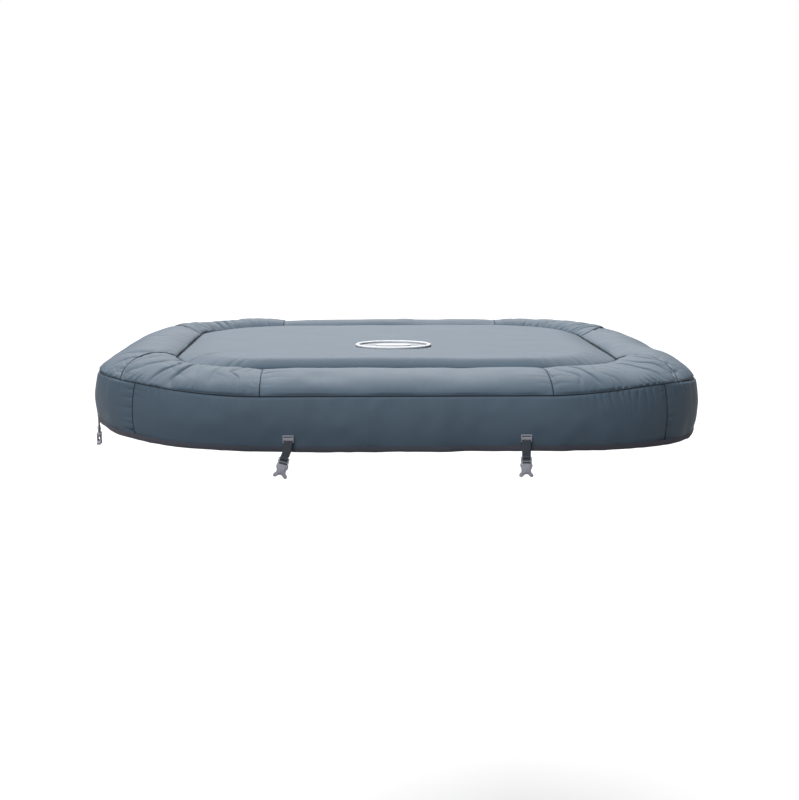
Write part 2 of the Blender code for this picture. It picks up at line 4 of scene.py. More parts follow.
import bmesh
import bpy
import numpy as np
from bpy.props import FloatProperty, FloatVectorProperty, IntProperty, PointerProperty
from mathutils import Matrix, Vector

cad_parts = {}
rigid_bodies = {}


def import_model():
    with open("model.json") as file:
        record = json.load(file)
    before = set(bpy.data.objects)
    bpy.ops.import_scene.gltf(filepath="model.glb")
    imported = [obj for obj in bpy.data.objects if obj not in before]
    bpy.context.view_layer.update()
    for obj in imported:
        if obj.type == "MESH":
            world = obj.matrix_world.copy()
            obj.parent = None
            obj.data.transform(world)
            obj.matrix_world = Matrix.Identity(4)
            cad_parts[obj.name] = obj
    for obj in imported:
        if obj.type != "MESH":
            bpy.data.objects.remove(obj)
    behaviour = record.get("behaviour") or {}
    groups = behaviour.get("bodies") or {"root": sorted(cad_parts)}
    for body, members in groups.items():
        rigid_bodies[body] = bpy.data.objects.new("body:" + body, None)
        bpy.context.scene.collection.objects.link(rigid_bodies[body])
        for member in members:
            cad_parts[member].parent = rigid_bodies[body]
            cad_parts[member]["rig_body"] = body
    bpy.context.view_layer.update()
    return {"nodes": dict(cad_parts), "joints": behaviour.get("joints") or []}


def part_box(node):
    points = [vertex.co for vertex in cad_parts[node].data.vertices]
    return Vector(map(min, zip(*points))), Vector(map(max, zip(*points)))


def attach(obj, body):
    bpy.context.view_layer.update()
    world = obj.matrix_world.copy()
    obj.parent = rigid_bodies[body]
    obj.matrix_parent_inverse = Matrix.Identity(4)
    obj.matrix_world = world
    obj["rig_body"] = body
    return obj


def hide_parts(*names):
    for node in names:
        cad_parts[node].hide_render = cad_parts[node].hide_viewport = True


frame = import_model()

bl_info = {
    "name": "Hot Tub Cover",
    "version": (1, 0, 0),
    "blender": (4, 5, 0),
    "location": "View3D > Sidebar > Cover",
    "description": "Builds the sewn fabric, straps and fittings of a padded hot tub cover",
    "category": "Add Mesh",
}

# Names and joints read from the frame
SKIRT_NODES = ("skirt_front", "skirt_right", "skirt_back", "skirt_left")
STRAPS = tuple(sorted(
    name.removeprefix("strap_keeper_") for name in frame["nodes"] if name.startswith("strap_keeper_")))
JOINTS = {joint["name"]: joint for joint in frame["joints"]}

# Sizes in metres. SEWN_GAP is the gap between neighbouring panels of the frame.
SEWN_GAP = 0.0018
CLOTH_ALLOWANCE = 0.0012
SEAM_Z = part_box("skirt_front")[1].z + SEWN_GAP
HEM_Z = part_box("hem_binding")[0].z
INNER_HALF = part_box("centre_panel")[1].x + SEWN_GAP / 2
INNER_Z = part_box("centre_panel")[0].z + CLOTH_ALLOWANCE
CENTRE_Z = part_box("centre_panel")[1].z
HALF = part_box("border_strip_right")[1].x + SEWN_GAP / 2
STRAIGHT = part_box("border_strip_front")[1].x + SEWN_GAP / 2
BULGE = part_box("skirt_right")[1].x - HALF
# The outline is counted in eight places: side, corner, side and so on, from the front's left end.
PLACES = 8
PLACE_LENGTH = 0.5 * math.pi * (HALF - STRAIGHT)
FRONT_RIGHT_SEAM = 1.03
SEAM_INSET = 0.0006
SEAM_DEPTH = 0.0040
PLATEAU_SINK = 0.0105
HEM_LEVEL = HEM_Z + 0.002
BORDER_CUT_WIDTH = 0.32
SKIRT_CUT_WIDTH = 0.165

# Straps: 25 mm webbing. The left front buckle hangs turned, as its webbing is creased.
WEBBING_HALF = 0.0125
WEBBING_THICKNESS = 0.0014
LEANING_STRAP = "front_a"
BUCKLE_LEAN = math.radians(14.0)

# Stage
FLOOR_Z = -2.2
FLOOR_HALF = 60.0
CAMERA_PLACE = (-0.135, -5.4423, 0.569)
CAMERA_TURN = (math.pi / 2 - 0.1248, 0, -0.028)
CAMERA_LENS = 73.35
CAMERA_SENSOR = 36.0


# Small helpers

def linear(hex_colour):
    """sRGB hex to a linear colour with alpha."""
    parts = [int(hex_colour[i:i + 2], 16) / 255 for i in (1, 3, 5)]
    return tuple(p / 12.92 if p <= 0.04045 else ((p + 0.055) / 1.055) ** 2.4 for p in parts) + (1.0,)


def sizes():
    """The sizes a user can change."""
    return bpy.context.scene.cover_sizes


def colours():
    """The colours a user can change."""
    return bpy.context.scene.cover_colours


def hashed(n, seed):
    """Repeatable values from 0 to 1 for whole numbers."""
    value = np.sin(n * 127.1 + seed * 311.7) * 43758.5453
    return value - np.floor(value)


def wander(x, seed):
    """Smooth noise along a line, from 0 to 1."""
    cell = np.floor(x)
    t = x - cell
    t = t * t * (3 - 2 * t)
    return hashed(cell, seed) * (1 - t) + hashed(cell + 1, seed) * t


def ring_wander(place, count, seed):
    """Smooth noise round the outline, from 0 to 1, with a whole number of cells so that it closes."""
    x = np.mod(place, PLACES) * count / PLACES
    cell = np.floor(x)
    t = x - cell
    t = t * t * (3 - 2 * t)
    return hashed(np.mod(cell, count), seed) * (1 - t) + hashed(np.mod(cell + 1, count), seed) * t


def patches(x, y, seed):
    """Smooth noise over a plane, from 0 to 1."""
    cx, cy = np.floor(x), np.floor(y)
    tx, ty = x - cx, y - cy
    tx, ty = tx * tx * (3 - 2 * tx), ty * ty * (3 - 2 * ty)

    def corner(dx, dy):
        return hashed((cx + dx) + 57.0 * (cy + dy), seed)

    low = corner(0, 0) * (1 - tx) + corner(1, 0) * tx
    high = corner(0, 1) * (1 - tx) + corner(1, 1) * tx
    return low * (1 - ty) + high * ty


def gathers(x, seed, sharp=2.0):
    """Cloth gathered along a line: round ridges at 0 and narrow valleys near -1, unevenly spaced."""
    warped = x + 0.8 * wander(0.6 * x, seed)
    depth = 0.10 + 1.15 * wander(0.7 * warped, seed + 3) ** 1.6
    return -depth * (1 - np.abs(np.sin(math.pi * warped))) ** sharp


def hump(x, width):
    """A smooth bump of height 1 round zero."""
    return np.exp(-(x / width) ** 2)


def near(x, reach):
    """Fades from 1 at an edge to 0 a few reaches away."""
    return np.exp(-np.maximum(x, 0) / reach)


def sewn(depth, distances):
    """Holds a cloth's edges at the seam's depth, whatever wrinkles it has further in."""
    held = 1 - np.prod([1 - hump(distance, 0.0035) for distance in distances], axis=0)
    return depth * (1 - held) - SEAM_DEPTH * held


# The cover's outline

def outline(half, place):
    """x and y on the rounded square of a half width; place counts its eight stretches from the front."""
    stretch = np.floor(place)
    share = place - stretch
    corner = np.mod(stretch, 2) == 1
    reach = half - STRAIGHT
    angle = share * math.pi / 2
    x = np.where(corner, STRAIGHT + reach * np.sin(angle), STRAIGHT * (2 * share - 1))
    y = np.where(corner, -STRAIGHT - reach * np.cos(angle), -half)
    turn = np.floor(stretch / 2) * math.pi / 2
    return x * np.cos(turn) - y * np.sin(turn), x * np.sin(turn) + y * np.cos(turn)


def place_at(x, y):
    """The half width and the place of points on the cover: the other way round from outline."""
    wide, deep = np.abs(x), np.abs(y)
    turned = np.minimum(wide, deep) > STRAIGHT
    half = np.where(turned, STRAIGHT + np.hypot(wide - STRAIGHT, deep - STRAIGHT), np.maximum(wide, deep))
    place = np.zeros_like(x)
    for side in range(4):
        turn = side * math.pi / 2
        across = x * math.cos(turn) + y * math.sin(turn)
        ahead = x * math.sin(turn) - y * math.cos(turn)
        straight = (ahead >= np.abs(across)) & (np.abs(across) <= STRAIGHT)
        corner = (across > STRAIGHT) & (ahead > STRAIGHT)
        angle = np.arctan2(across - STRAIGHT, ahead - STRAIGHT)
        place = np.where(straight, 2 * side + 0.5 + 0.5 * across / STRAIGHT, place)
        place = np.where(corner, 2 * side + 1 + angle * 2 / math.pi, place)
    return half, place


def facing(place):
    """The outward direction of a place: x and y of a unit vector."""
    stretch = np.floor(place)
    share = place - stretch
    corner = np.mod(stretch, 2) == 1
    angle = (np.floor(stretch / 2) - 1 + np.where(corner, share, 0)) * math.pi / 2
    return np.cos(angle), np.sin(angle)


def cornering(place):
    """0 on the straight sides, rising to 1 at the middle of the corners."""
    stretch = np.floor(place)
    share = place - stretch
    return np.where(np.mod(stretch, 2) == 1, np.sin(math.pi * share) ** 2, 0.0)


def leftness(place, power):
    """1 on the left side, falling to 0 at the front and the back, and 0 on the right."""
    right, _ = facing(place)
    return np.maximum(-right, 0) ** power


def seam_height(place):
    """Height of the skirt's top seam, which lifts at the corners and along the left side."""
    return SEAM_Z + sizes().seam_lift * cornering(place) + sizes().left_lift * leftness(place, 4)


def inner_height(place):
    """Height of the border's inner seam, which follows the lift of the left side a little."""
    return INNER_Z + 0.4 * sizes().left_lift * leftness(place, 4)


def hem_height(place):
    """Height of the hem, which lifts at the corners, hangs lower on the right and waves a little."""
    wave = 0.0036 * (ring_wander(place, 26, 5) - 0.5) + 0.0016 * (ring_wander(place, 120, 6) - 0.5)
    right, _ = facing(place)
    lift = sizes().hem_lift * np.sqrt(cornering(place)) * (right < 0) + sizes().left_lift * leftness(place, 5)
    tilt = -sizes().right_drop * np.maximum(right, 0) ** 2
    return HEM_LEVEL + lift + tilt + wave


def skirt_half(share, place):
    """Half width of the skirt at a share of its height, with soft folds that grow towards the hem."""
    folds = 0.013 * (ring_wander(place, 42, 11) - 0.5) + 0.005 * (ring_wander(place, 112, 12) - 0.5)
    tuck = -0.0035 * share ** 2
    return HALF + BULGE * 4 * share * (1 - share) + tuck + folds * share ** 1.5


def cover_height(half, place):
    """Height of the smooth filled cover at a half width."""
    right, back = facing(place)
    ring = np.clip(half / INNER_HALF, 0, 1)
    band = sizes().slope_band * (1 + 0.45 * (1 + back) + 0.55 * right * right)
    climb = np.clip((1 - ring) * INNER_HALF / band, 0, 1)
    climb = climb * climb * (3 - 2 * climb) * 0.35 + 0.65 * (1 - (1 - climb) ** 2.2)
    plateau = CENTRE_Z - PLATEAU_SINK
    inner = inner_height(place)
    centre = inner + (plateau - inner) * climb
    share = np.clip((half - INNER_HALF) / (HALF - INNER_HALF), 0, 1)
    bottom = seam_height(place)
    fall = np.maximum(1 - share ** 3, 0) ** 0.6
    border = bottom + (inner - bottom) * fall + crest(place) * np.sin(math.pi * share ** 0.8)
    return np.where(half < INNER_HALF, centre, border)


# Panels are grids whose points are moved on to the cover's surface and then wrinkled

def new_object(name, builder, material, body="cover", smooth_angle=50):
    """A finished bmesh as an object at the origin that rides on a body."""
    mesh = bpy.data.meshes.new(name)
    builder.to_mesh(mesh)
    builder.free()
    mesh.shade_smooth()
    mesh.set_sharp_from_angle(angle=math.radians(smooth_angle))
    mesh.materials.append(material)
    item = bpy.data.objects.new(name, mesh)
    bpy.context.scene.collection.objects.link(item)
    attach(item, body)
    return item


def normals_of(surface, u, v):
    """Unit normals of a surface function by small differences."""
    step = 0.002
    right = surface(u + step, v) - surface(u - step, v)
    ahead = surface(u, v + step) - surface(u, v - step)
    normal = np.cross(right, ahead)
    length = np.maximum(np.linalg.norm(normal, axis=1), 1e-9)
    return normal / length[:, None]


def cloth_panel(name, surface, wrinkle, steps, metres, material, outward):
    """A sheet of cloth over a surface function of u and v in 0..1, wrinkled along its normal."""
    builder = bmesh.new()
    layer = builder.loops.layers.uv.new("cloth")
    bmesh.ops.create_grid(builder, x_segments=steps[0], y_segments=steps[1], size=0.5, calc_uvs=True)
    for face in builder.faces:
        for loop in face.loops:
            loop[layer].uv = ((loop.vert.co.x + 0.5) * metres[0], (loop.vert.co.y + 0.5) * metres[1])
    places = np.array([vert.co[:2] for vert in builder.verts]) + 0.5
    u, v = places[:, 0], places[:, 1]
    points = surface(u, v)
    normal = normals_of(surface, np.clip(u, 0.002, 0.998), np.clip(v, 0.002, 0.998))
    if np.mean(np.sum(normal * outward(points), axis=1)) < 0:
        normal = -normal
        bmesh.ops.reverse_faces(builder, faces=builder.faces)
    points = points + normal * wrinkle(u, v, points)[:, None]
    for vert, point in zip(builder.verts, points):
        vert.co = point
    item = new_object(name, builder, material, smooth_angle=180)
    add_thickness(item, sizes().cloth_thickness)
    return item


def lay_flat(builder):
    """Gives a level piece cloth coordinates: its own x and y in metres."""
    layer = builder.loops.layers.uv.new("cloth")
    for face in builder.faces:
        for loop in face.loops:
            loop[layer].uv = loop.vert.co.xy


def add_thickness(item, thickness):
    """Gives an open sheet its thickness, inwards."""
    modifier = item.modifiers.new("Thickness", "SOLIDIFY")
    modifier.thickness = thickness
    modifier.offset = -1.0


def up(points):
    """The outward direction of a top panel at its points."""
    return np.tile((0.0, 0.0, 1.0), (len(points), 1))


def away(points):
    """The outward direction of a skirt panel at its points: level, away from the middle."""
    flat = points.copy()
    flat[:, 2] = 0
    return flat


def flat_area(surface):
    """Area of a smooth surface function over u and v in 0..1."""
    count = 60
    ticks = np.linspace(0, 1, count + 1)
    u, v = np.meshgrid(ticks, ticks, indexing="ij")
    grid = surface(u.ravel(), v.ravel()).reshape(count + 1, count + 1, 3)
    a = grid[1:, :-1] - grid[:-1, :-1]
    b = grid[:-1, 1:] - grid[:-1, :-1]
    return float(np.linalg.norm(np.cross(a, b), axis=2).sum())


def declare_sheet(surface, flat):
    """Works out a cloth panel's area, its flat area with some slack but no more than its cut size; the value
    is not kept.
    """
    area = min(1.03 * flat_area(surface), flat[0] * flat[1])


# Border

def crest(place):
    """How far the border's padding stands above its inner seam: low in front, high at the back."""
    right, back = facing(place)
    lift = sizes()
    even = (lift.crest_back + lift.crest_front) / 2
    tip = (lift.crest_back - lift.crest_front) / 2
    rise = lift.crest_side + tip * back + (even - lift.crest_side) * back * back
    return rise + lift.crest_left * np.maximum(-right, 0) * (1 + 0.5 * back)


def border_places(start, end, swing_start, swing_end):
    """Maps u and v of a border piece to a place on the outline, a share of its width and its length."""

    def place_of(u, v):
        share = np.sin(np.clip(v, 0, 1) * math.pi / 2)
        swing = sizes().side_seam_swing * share
        first = start + swing_start * swing
        last = end + swing_end * swing
        return first + (last - first) * u, share, last - first

    return place_of


def border_surface(place_of):
    """Surface of a border piece: u runs along the outline, v from the inner seam to the skirt's."""

    def surface(u, v):
        place, share, _ = place_of(u, v)
        place = np.mod(place, PLACES)
        half = INNER_HALF + SEAM_INSET + (HALF - INNER_HALF - 2 * SEAM_INSET) * share
        x, y = outline(half, place)
        return np.stack((x, y, cover_height(half, place)), axis=1)

    return surface


def border_wrinkle(place_of, seed, fold_depth):
    """Wrinkles of a border piece: rolled edges, gathers at both seams and long folds at corners."""

    def wrinkle(u, v, points):
        place, share, span = place_of(u, v)
        width = HALF - INNER_HALF
        from_inner = share * width
        from_outer = (1 - share) * width * 1.5
        from_side = np.minimum(u, 1 - u) * span * PLACE_LENGTH
        corner = np.sqrt(cornering(np.mod(place, PLACES)))
        along = place * PLACE_LENGTH
        x, y = points[:, 0], points[:, 1]
        drift = 0.02 * (patches(x / 0.05, y / 0.05, seed + 30) - 0.5)
        drifted = along + drift
        depth = -0.0045 * near(from_side, 0.03) - 0.0025 * near(from_inner, 0.02)
        depth += near(from_outer, 0.030) * (0.0012 + 0.0075 * corner) * gathers(drifted / 0.026, seed)
        depth += near(from_inner, 0.050) * (0.0010 + 0.0060 * corner) * gathers(drifted / 0.050, seed + 7)
        depth += near(from_side, 0.045) * 0.0050 * gathers((share * width + drift) / 0.038, seed + 9)
        middle = np.sin(math.pi * np.clip(share, 0, 1)) ** 0.6
        slant = (along + 2 * drift) / 0.075 + 2.4 * share * (wander(along / 0.3, seed + 4) - 0.5)
        depth += fold_depth * (0.2 + 0.8 * corner) * middle * gathers(slant, seed + 13, 3.0)
        cross = (x * math.cos(seed) + y * math.sin(seed) + drift) / 0.11
        depth += 0.25 * fold_depth * corner * middle * gathers(cross, seed + 15, 4.0)
        depth += 0.009 * middle * (patches(x / 0.17, y / 0.17, seed + 21) - 0.5)
        depth += 0.004 * (patches(x / 0.06, y / 0.06, seed + 22) - 0.5)
        return sewn(depth, (from_inner, from_outer, from_side))

    return wrinkle


def ring_grid(u, v):
    """Maps a square grid to a rounded square: the ring from 0 to 1 and the place round it."""
    a, b = 2 * u - 1, 2 * v - 1
    ring = np.maximum(np.abs(a), np.abs(b))
    safe = np.maximum(ring, 1e-6)
    side = np.select([-b >= np.abs(a), a >= np.abs(b), b >= np.abs(a)], [0, 1, 2], default=3)
    along = np.select([side == 0, side == 1, side == 2], [a, b, -a], default=-b) / safe
    return ring, np.mod(2 * side + 0.5 + along, PLACES)


def centre_surface(u, v):
    """The centre panel over a square grid: rings of the grid follow the rounded square."""
    ring, place = ring_grid(u, v)
    x, y = outline(INNER_HALF - SEAM_INSET, place)
    return np.stack((x * ring, y * ring, cover_height(INNER_HALF * np.minimum(ring, 0.9999), place)), axis=1)


def centre_wrinkle(u, v, points):
    """Rolled edge, gathers at the seam's corners and the soft unevenness of the plateau."""
    ring, place = ring_grid(u, v)
    inward = (1 - ring) * INNER_HALF
    x, y = points[:, 0], points[:, 1]
    corner = np.sqrt(cornering(place))
    drift = 0.02 * (patches(x / 0.05, y / 0.05, 30) - 0.5)
    around = place * PLACE_LENGTH * 0.75 + drift
    depth = -0.002 * near(inward, 0.015)
    depth += near(inward, 0.045) * (0.0010 + 0.0060 * corner) * gathers(around / 0.050, 31)
    depth += near(np.abs(inward - 0.07), 0.06) * 0.0065 * corner * gathers(around / 0.085, 33, 3.0)
    depth += 0.0040 * (patches(x / 0.30, y / 0.30, 35) - 0.5)
    depth += 0.0015 * (patches(x / 0.09, y / 0.09, 36) - 0.5)
    return sewn(depth, (inward,))


def skirt_surface(middle):
    """Surface of a skirt panel: u runs along the outline, v from the top seam down to the hem."""

    def surface(u, v):
        gap = SEAM_INSET / PLACE_LENGTH
        place = np.mod(middle - 1 + gap + (2 - 2 * gap) * u, PLACES)
        top = seam_height(place) - SEAM_INSET
        bottom = hem_height(place) + 0.0015
        x, y = outline(skirt_half(v, place), place)
        return np.stack((x, y, top + (bottom - top) * v), axis=1)

    return surface


def skirt_wrinkle(middle, seed):
    """Wrinkles of a skirt panel: gathers under the seam at corners and puckers by the upright seams."""

    def wrinkle(u, v, points):
        place = middle - 1 + 2 * u
        from_top = v * (SEAM_Z - HEM_Z)
        from_side = np.minimum(u, 1 - u) * 2 * PLACE_LENGTH
        corner = np.sqrt(cornering(np.mod(place, PLACES)))
        along = place * PLACE_LENGTH
        drift = 0.02 * (patches(along / 0.05, from_top / 0.05, seed + 30) - 0.5)
        tacked = near(v * 0.16, 0.5) * (1 - np.clip((v - 0.9) / 0.1, 0, 1))
        depth = -0.0040 * near(from_side, 0.02)
        depth += near(from_top, 0.024) * (0.0010 + 0.0060 * corner) * gathers((along + drift) / 0.025, seed)
        depth += near(from_side, 0.030) * 0.0055 * gathers((from_top + 0.5 * drift) / 0.026, seed + 5)
        depth += tacked * 0.0060 * (patches(along / 0.11, from_top / 0.14, seed + 8) - 0.5)
        depth += tacked * 0.0030 * (patches(along / 0.04, from_top / 0.04, seed + 9) - 0.5)
        return sewn(depth, (from_top, from_side))

    return wrinkle


# Seams

def zip_points(x, y, z):
    """Points as rows from separate coordinates."""
    return np.stack((x, y, z), axis=1)


def stitched_line(name, points, closed, material, radius):
    """A sewn seam seen from outside: a thin roll in the groove, dark for its thread and for painted shade of
    the groove.
    """
    curve = bpy.data.curves.new(name, "CURVE")
    curve.dimensions = "3D"
    curve.bevel_depth = radius
    curve.bevel_resolution = 2
    curve.use_fill_caps = not closed
    spline = curve.splines.new("POLY")
    spline.points.add(len(points) - 1)
    for slot, point in zip(spline.points, points):
        slot.co = (*point, 1.0)
    spline.use_cyclic_u = closed
    curve.materials.append(material)
    item = bpy.data.objects.new(name, curve)
    bpy.context.scene.collection.objects.link(item)
    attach(item, "cover")
    return item


# Materials

def add_node(tree, kind, settings=None, links=None):
    """Adds a shader node, sets its properties and sockets, and links sockets from others."""
    node = tree.nodes.new(kind)
    for key, value in (settings or {}).items():
        if isinstance(key, str) and hasattr(node, key):
            setattr(node, key, value)
        else:
            node.inputs[key].default_value = value
    for key, source in (links or {}).items():
        tree.links.new(source, node.inputs[key])
    return node


def start_material(name, roughness, metallic=0.0, **sockets):
    """A material with its Principled shader set."""
    material = bpy.data.materials.new(name)
    material.use_nodes = True
    shader = material.node_tree.nodes["Principled BSDF"]
    shader.inputs["Roughness"].default_value = roughness
    shader.inputs["Metallic"].default_value = metallic
    for key, value in sockets.items():
        shader.inputs[key.replace("_", " ")].default_value = value
    return material, material.node_tree, shader


def blend_colours(tree, factor, first, second):
    """A mix of two colours by a factor socket; returns the colour output."""
    node = add_node(tree, "ShaderNodeMix", {"data_type": "RGBA", 6: first, 7: second}, {0: factor})
    return node.outputs[2]


def maths(tree, operation, *terms):
    """A maths node on numbers and sockets; returns its output."""
    numbers = {slot: term for slot, term in enumerate(terms) if isinstance(term, (int, float))}
    sockets = {slot: term for slot, term in enumerate(terms) if slot not in numbers}
    return add_node(tree, "ShaderNodeMath", {"operation": operation, **numbers}, sockets).outputs[0]


def shade(colour, factor):
    """A colour made darker or lighter by a factor."""
    return tuple(min(1.0, part * factor) for part in colour[:3]) + (1.0,)


def add_noise(tree, scale, detail, **settings):
    """A noise pattern on the object's own coordinates; scale is in patches per metre."""
    place = add_node(tree, "ShaderNodeTexCoord")
    return add_node(
        tree, "ShaderNodeTexNoise", {"Scale": scale, "Detail": detail, **settings},
        {"Vector": place.outputs["Object"]})


def tint(tree, shader, noise, colour, dark, light):
    """Lets a colour change between a darker and a lighter shade of itself with a noise."""
    base = blend_colours(tree, noise.outputs["Fac"], shade(colour, dark), shade(colour, light))
    tree.links.new(base, shader.inputs["Base Color"])


def emboss(tree, shader, height, strength, depth):
    """Gives a shader the relief of a height socket, depth in metres."""
    bump = add_node(tree, "ShaderNodeBump", {"Strength": strength, "Distance": depth}, {"Height": height})
    tree.links.new(bump.outputs[0], shader.inputs["Normal"])


# Coated polyester: plain woven and coated on one side. It reads as a matt blue-grey cloth that
# turns pale where light grazes it, with a faint weave and slow changes of tone.
# The weave's waves are 2 pi threads long, drawn coarser than the real threads so that they show.
def woven_cloth(name, colour, thread_mm, roughness, sheen, relief):
    """Plain woven polyester with a thin coating: a fine thread grid, faint mottling, soft sheen."""
    material, tree, shader = start_material(
        name, roughness, Sheen_Weight=sheen, Sheen_Roughness=0.45, Specular_IOR_Level=0.35)
    uv = add_node(tree, "ShaderNodeUVMap", {"uv_map": "cloth"})
    pitch = 1000.0 / thread_mm
    scaled = add_node(tree, "ShaderNodeMapping", {"Scale": (pitch, pitch, 1.0)}, {"Vector": uv.outputs[0]})
    split = add_node(tree, "ShaderNodeSeparateXYZ", None, {"Vector": scaled.outputs[0]})
    warp = maths(tree, "SINE", split.outputs[0])
    weft = maths(tree, "SINE", split.outputs[1])
    weave = maths(tree, "MULTIPLY", warp, weft)
    mottle = add_noise(tree, 9.0, 5.0, Roughness=0.55)
    fine = add_noise(tree, 260.0, 3.0)
    tint(tree, shader, mottle, colour, 0.90, 1.10)
    emboss(tree, shader, maths(tree, "MULTIPLY_ADD", weave, 0.35, fine.outputs["Fac"]), relief, 0.0006)
    return material


# Moulded acetal and PVC: a sparked mould leaves a fine satin grain that breaks up the highlights.
def moulded_plastic(name, colour, roughness, grain_mm):
    """Injection moulded acetal or PVC: a fine sparked grain and slight tone changes."""
    material, tree, shader = start_material(name, roughness)
    grain = add_noise(tree, 1000.0 / grain_mm, 2.0)
    tint(tree, shader, add_noise(tree, 60.0, 2.0), colour, 0.92, 1.08)
    emboss(tree, shader, grain.outputs["Fac"], 0.25, 0.0002)
    return material


# Polypropylene webbing: woven from thick yarns. It reads as dark and matt, with ribs across it.
def ribbed_webbing(name, colour, rib_mm):
    """Woven polypropylene webbing: cross ribs and a finer lengthways thread, matt and dark."""
    material, tree, shader = start_material(name, 0.85, Sheen_Weight=0.15)
    place = add_node(tree, "ShaderNodeTexCoord")
    split = add_node(tree, "ShaderNodeSeparateXYZ", None, {"Vector": place.outputs["Object"]})
    ribs = maths(tree, "SINE", maths(tree, "MULTIPLY", split.outputs[2], 2000.0 * math.pi / rib_mm))
    noise = add_noise(tree, 700.0, 3.0)
    tint(tree, shader, noise, colour, 0.8, 1.25)
    emboss(tree, shader, maths(tree, "ADD", ribs, noise.outputs["Fac"]), 0.6, 0.0004)
    return material


# Die-cast zinc: tumbled after casting, which leaves a soft and slightly uneven shine.
def cast_metal(name, colour):
    """Satin die-cast zinc: metallic with a soft, slightly uneven polish."""
    material, tree, shader = start_material(name, 0.35, 1.0)
    noise = add_noise(tree, 400.0, 3.0)
    tint(tree, shader, noise, colour, 0.9, 1.1)
    emboss(tree, shader, noise.outputs["Fac"], 0.15, 0.0002)
    return material


MATERIALS = {}


def finish_of(key):
    """The material of a finish, made the first time it is asked for."""
    tone = colours()
    if key not in MATERIALS:
        makers = {
            "cover": lambda: woven_cloth("coated_polyester", (*tone.cover, 1), 0.5, 0.70, 0.05, 0.35),
            "liner": lambda: woven_cloth("lining_cloth", linear("#9a9ea3"), 0.8, 0.6, 0.05, 0.3),
            "tape": lambda: woven_cloth("binding_tape", (*tone.binding, 1), 0.9, 0.85, 0.10, 0.6),
            # The seams' near-black colour is partly the thread and partly painted shade of the sunken grooves.
            "seam": lambda: moulded_plastic("seam_thread_and_painted_shade", linear("#1c232b"), 0.9, 0.6),
            "webbing": lambda: ribbed_webbing("polypropylene_webbing", (*tone.webbing, 1), 1.6),
            "plastic": lambda: moulded_plastic("moulded_acetal", (*tone.buckle, 1), 0.42, 0.35),
            "white": lambda: moulded_plastic("soft_white_pvc", linear("#c6c9cd"), 0.45, 0.5),
            "blue": lambda: moulded_plastic("badge_ground_pvc", linear("#596573"), 0.5, 0.5),
            "vinyl": lambda: moulded_plastic("welded_vinyl_sheet", linear("#a7b3bf"), 0.35, 1.2),
            "zip_tape": lambda: ribbed_webbing("zip_tape_cloth", linear("#2b2e33"), 0.8),
            "coil": lambda: ribbed_webbing("nylon_zip_coil", linear("#1d1f23"), 1.2),
            "metal": lambda: cast_metal("die_cast_zinc", linear("#b4b4b6")),
        }
        MATERIALS[key] = makers[key]()
    return MATERIALS[key]


def dress_node(name, key):
    """Gives a kept node of the frame its finish."""
    node = frame["nodes"][name]
    node.data.materials.clear()
    node.data.materials.append(finish_of(key))


# Property groups

def length(name, description, default):
    """A length property, in metres."""
    return FloatProperty(name=name, description=description, default=default, unit="LENGTH")


def colour(name, description, hex_colour):
    """A colour property from an sRGB hex value."""
    return FloatVectorProperty(
        name=name, description=description, subtype="COLOR", default=linear(hex_colour)[:3])


class CoverSizes(bpy.types.PropertyGroup):
    """Sizes of the cloth that a user would change."""

    cloth_thickness: length("Cloth Thickness", "Thickness of the coated cloth", 0.0009)
    seam_lift: length("Seam Lift", "How far the skirt's top seam lifts at a corner", 0.016)
    hem_lift: length("Hem Lift", "How far the hem lifts at a left corner", 0.011)
    left_lift: length("Left Lift", "How far the cloth is pulled up along the left side", 0.028)
    right_drop: length("Right Drop", "How far the hem hangs lower on the right side", 0.009)
    side_seam_swing: FloatProperty(
        name="Side Seam Swing", description="How far the side seams swing into the corners, in places",
        default=0.41)
    crest_front: length("Front Crest", "Rise of the border's padding in front", 0.008)
    crest_side: length("Side Crest", "Rise of the border's padding at the sides", 0.024)
    crest_back: length("Back Crest", "Rise of the border's padding at the back", 0.037)
    crest_left: length("Left Crest", "Extra rise of the border's padding on the left", 0.002)
    slope_band: length("Slope Band", "Width of the centre panel's sloped band in front", 0.055)
    corner_folds: length("Corner Folds", "Depth of the folds on the corner pieces", 0.011)
    detail: IntProperty(
        name="Detail", description="Grid steps along one side of a border piece", default=190, min=20, max=400)


class CoverColours(bpy.types.PropertyGroup):
    """Colours of the cover's cloth and fittings."""

    cover: colour("Cover Cloth", "Blue-grey coated cloth", "#495a69")
    binding: colour("Hem Binding", "Grey-purple binding tape", "#52535f")
    webbing: colour("Webbing", "Dark strap webbing", "#363d46")
    buckle: colour("Buckle", "Light grey moulded plastic", "#9898a4")


# Operators

class COVER_OT_centre_panel(bpy.types.Operator):
    """Builds the centre panel of the cover"""
    bl_idname = "cover.centre_panel"
    bl_label = "Centre Panel"

    def execute(self, context):
        count = sizes().detail + 10
        span = 2 * INNER_HALF
        item = cloth_panel(
            "centre_panel_cloth", centre_surface, centre_wrinkle, (count, count), (span, span),
            finish_of("cover"), up)
        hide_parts("centre_panel")
        declare_sheet(centre_surface, (span, span))
        return {"FINISHED"}


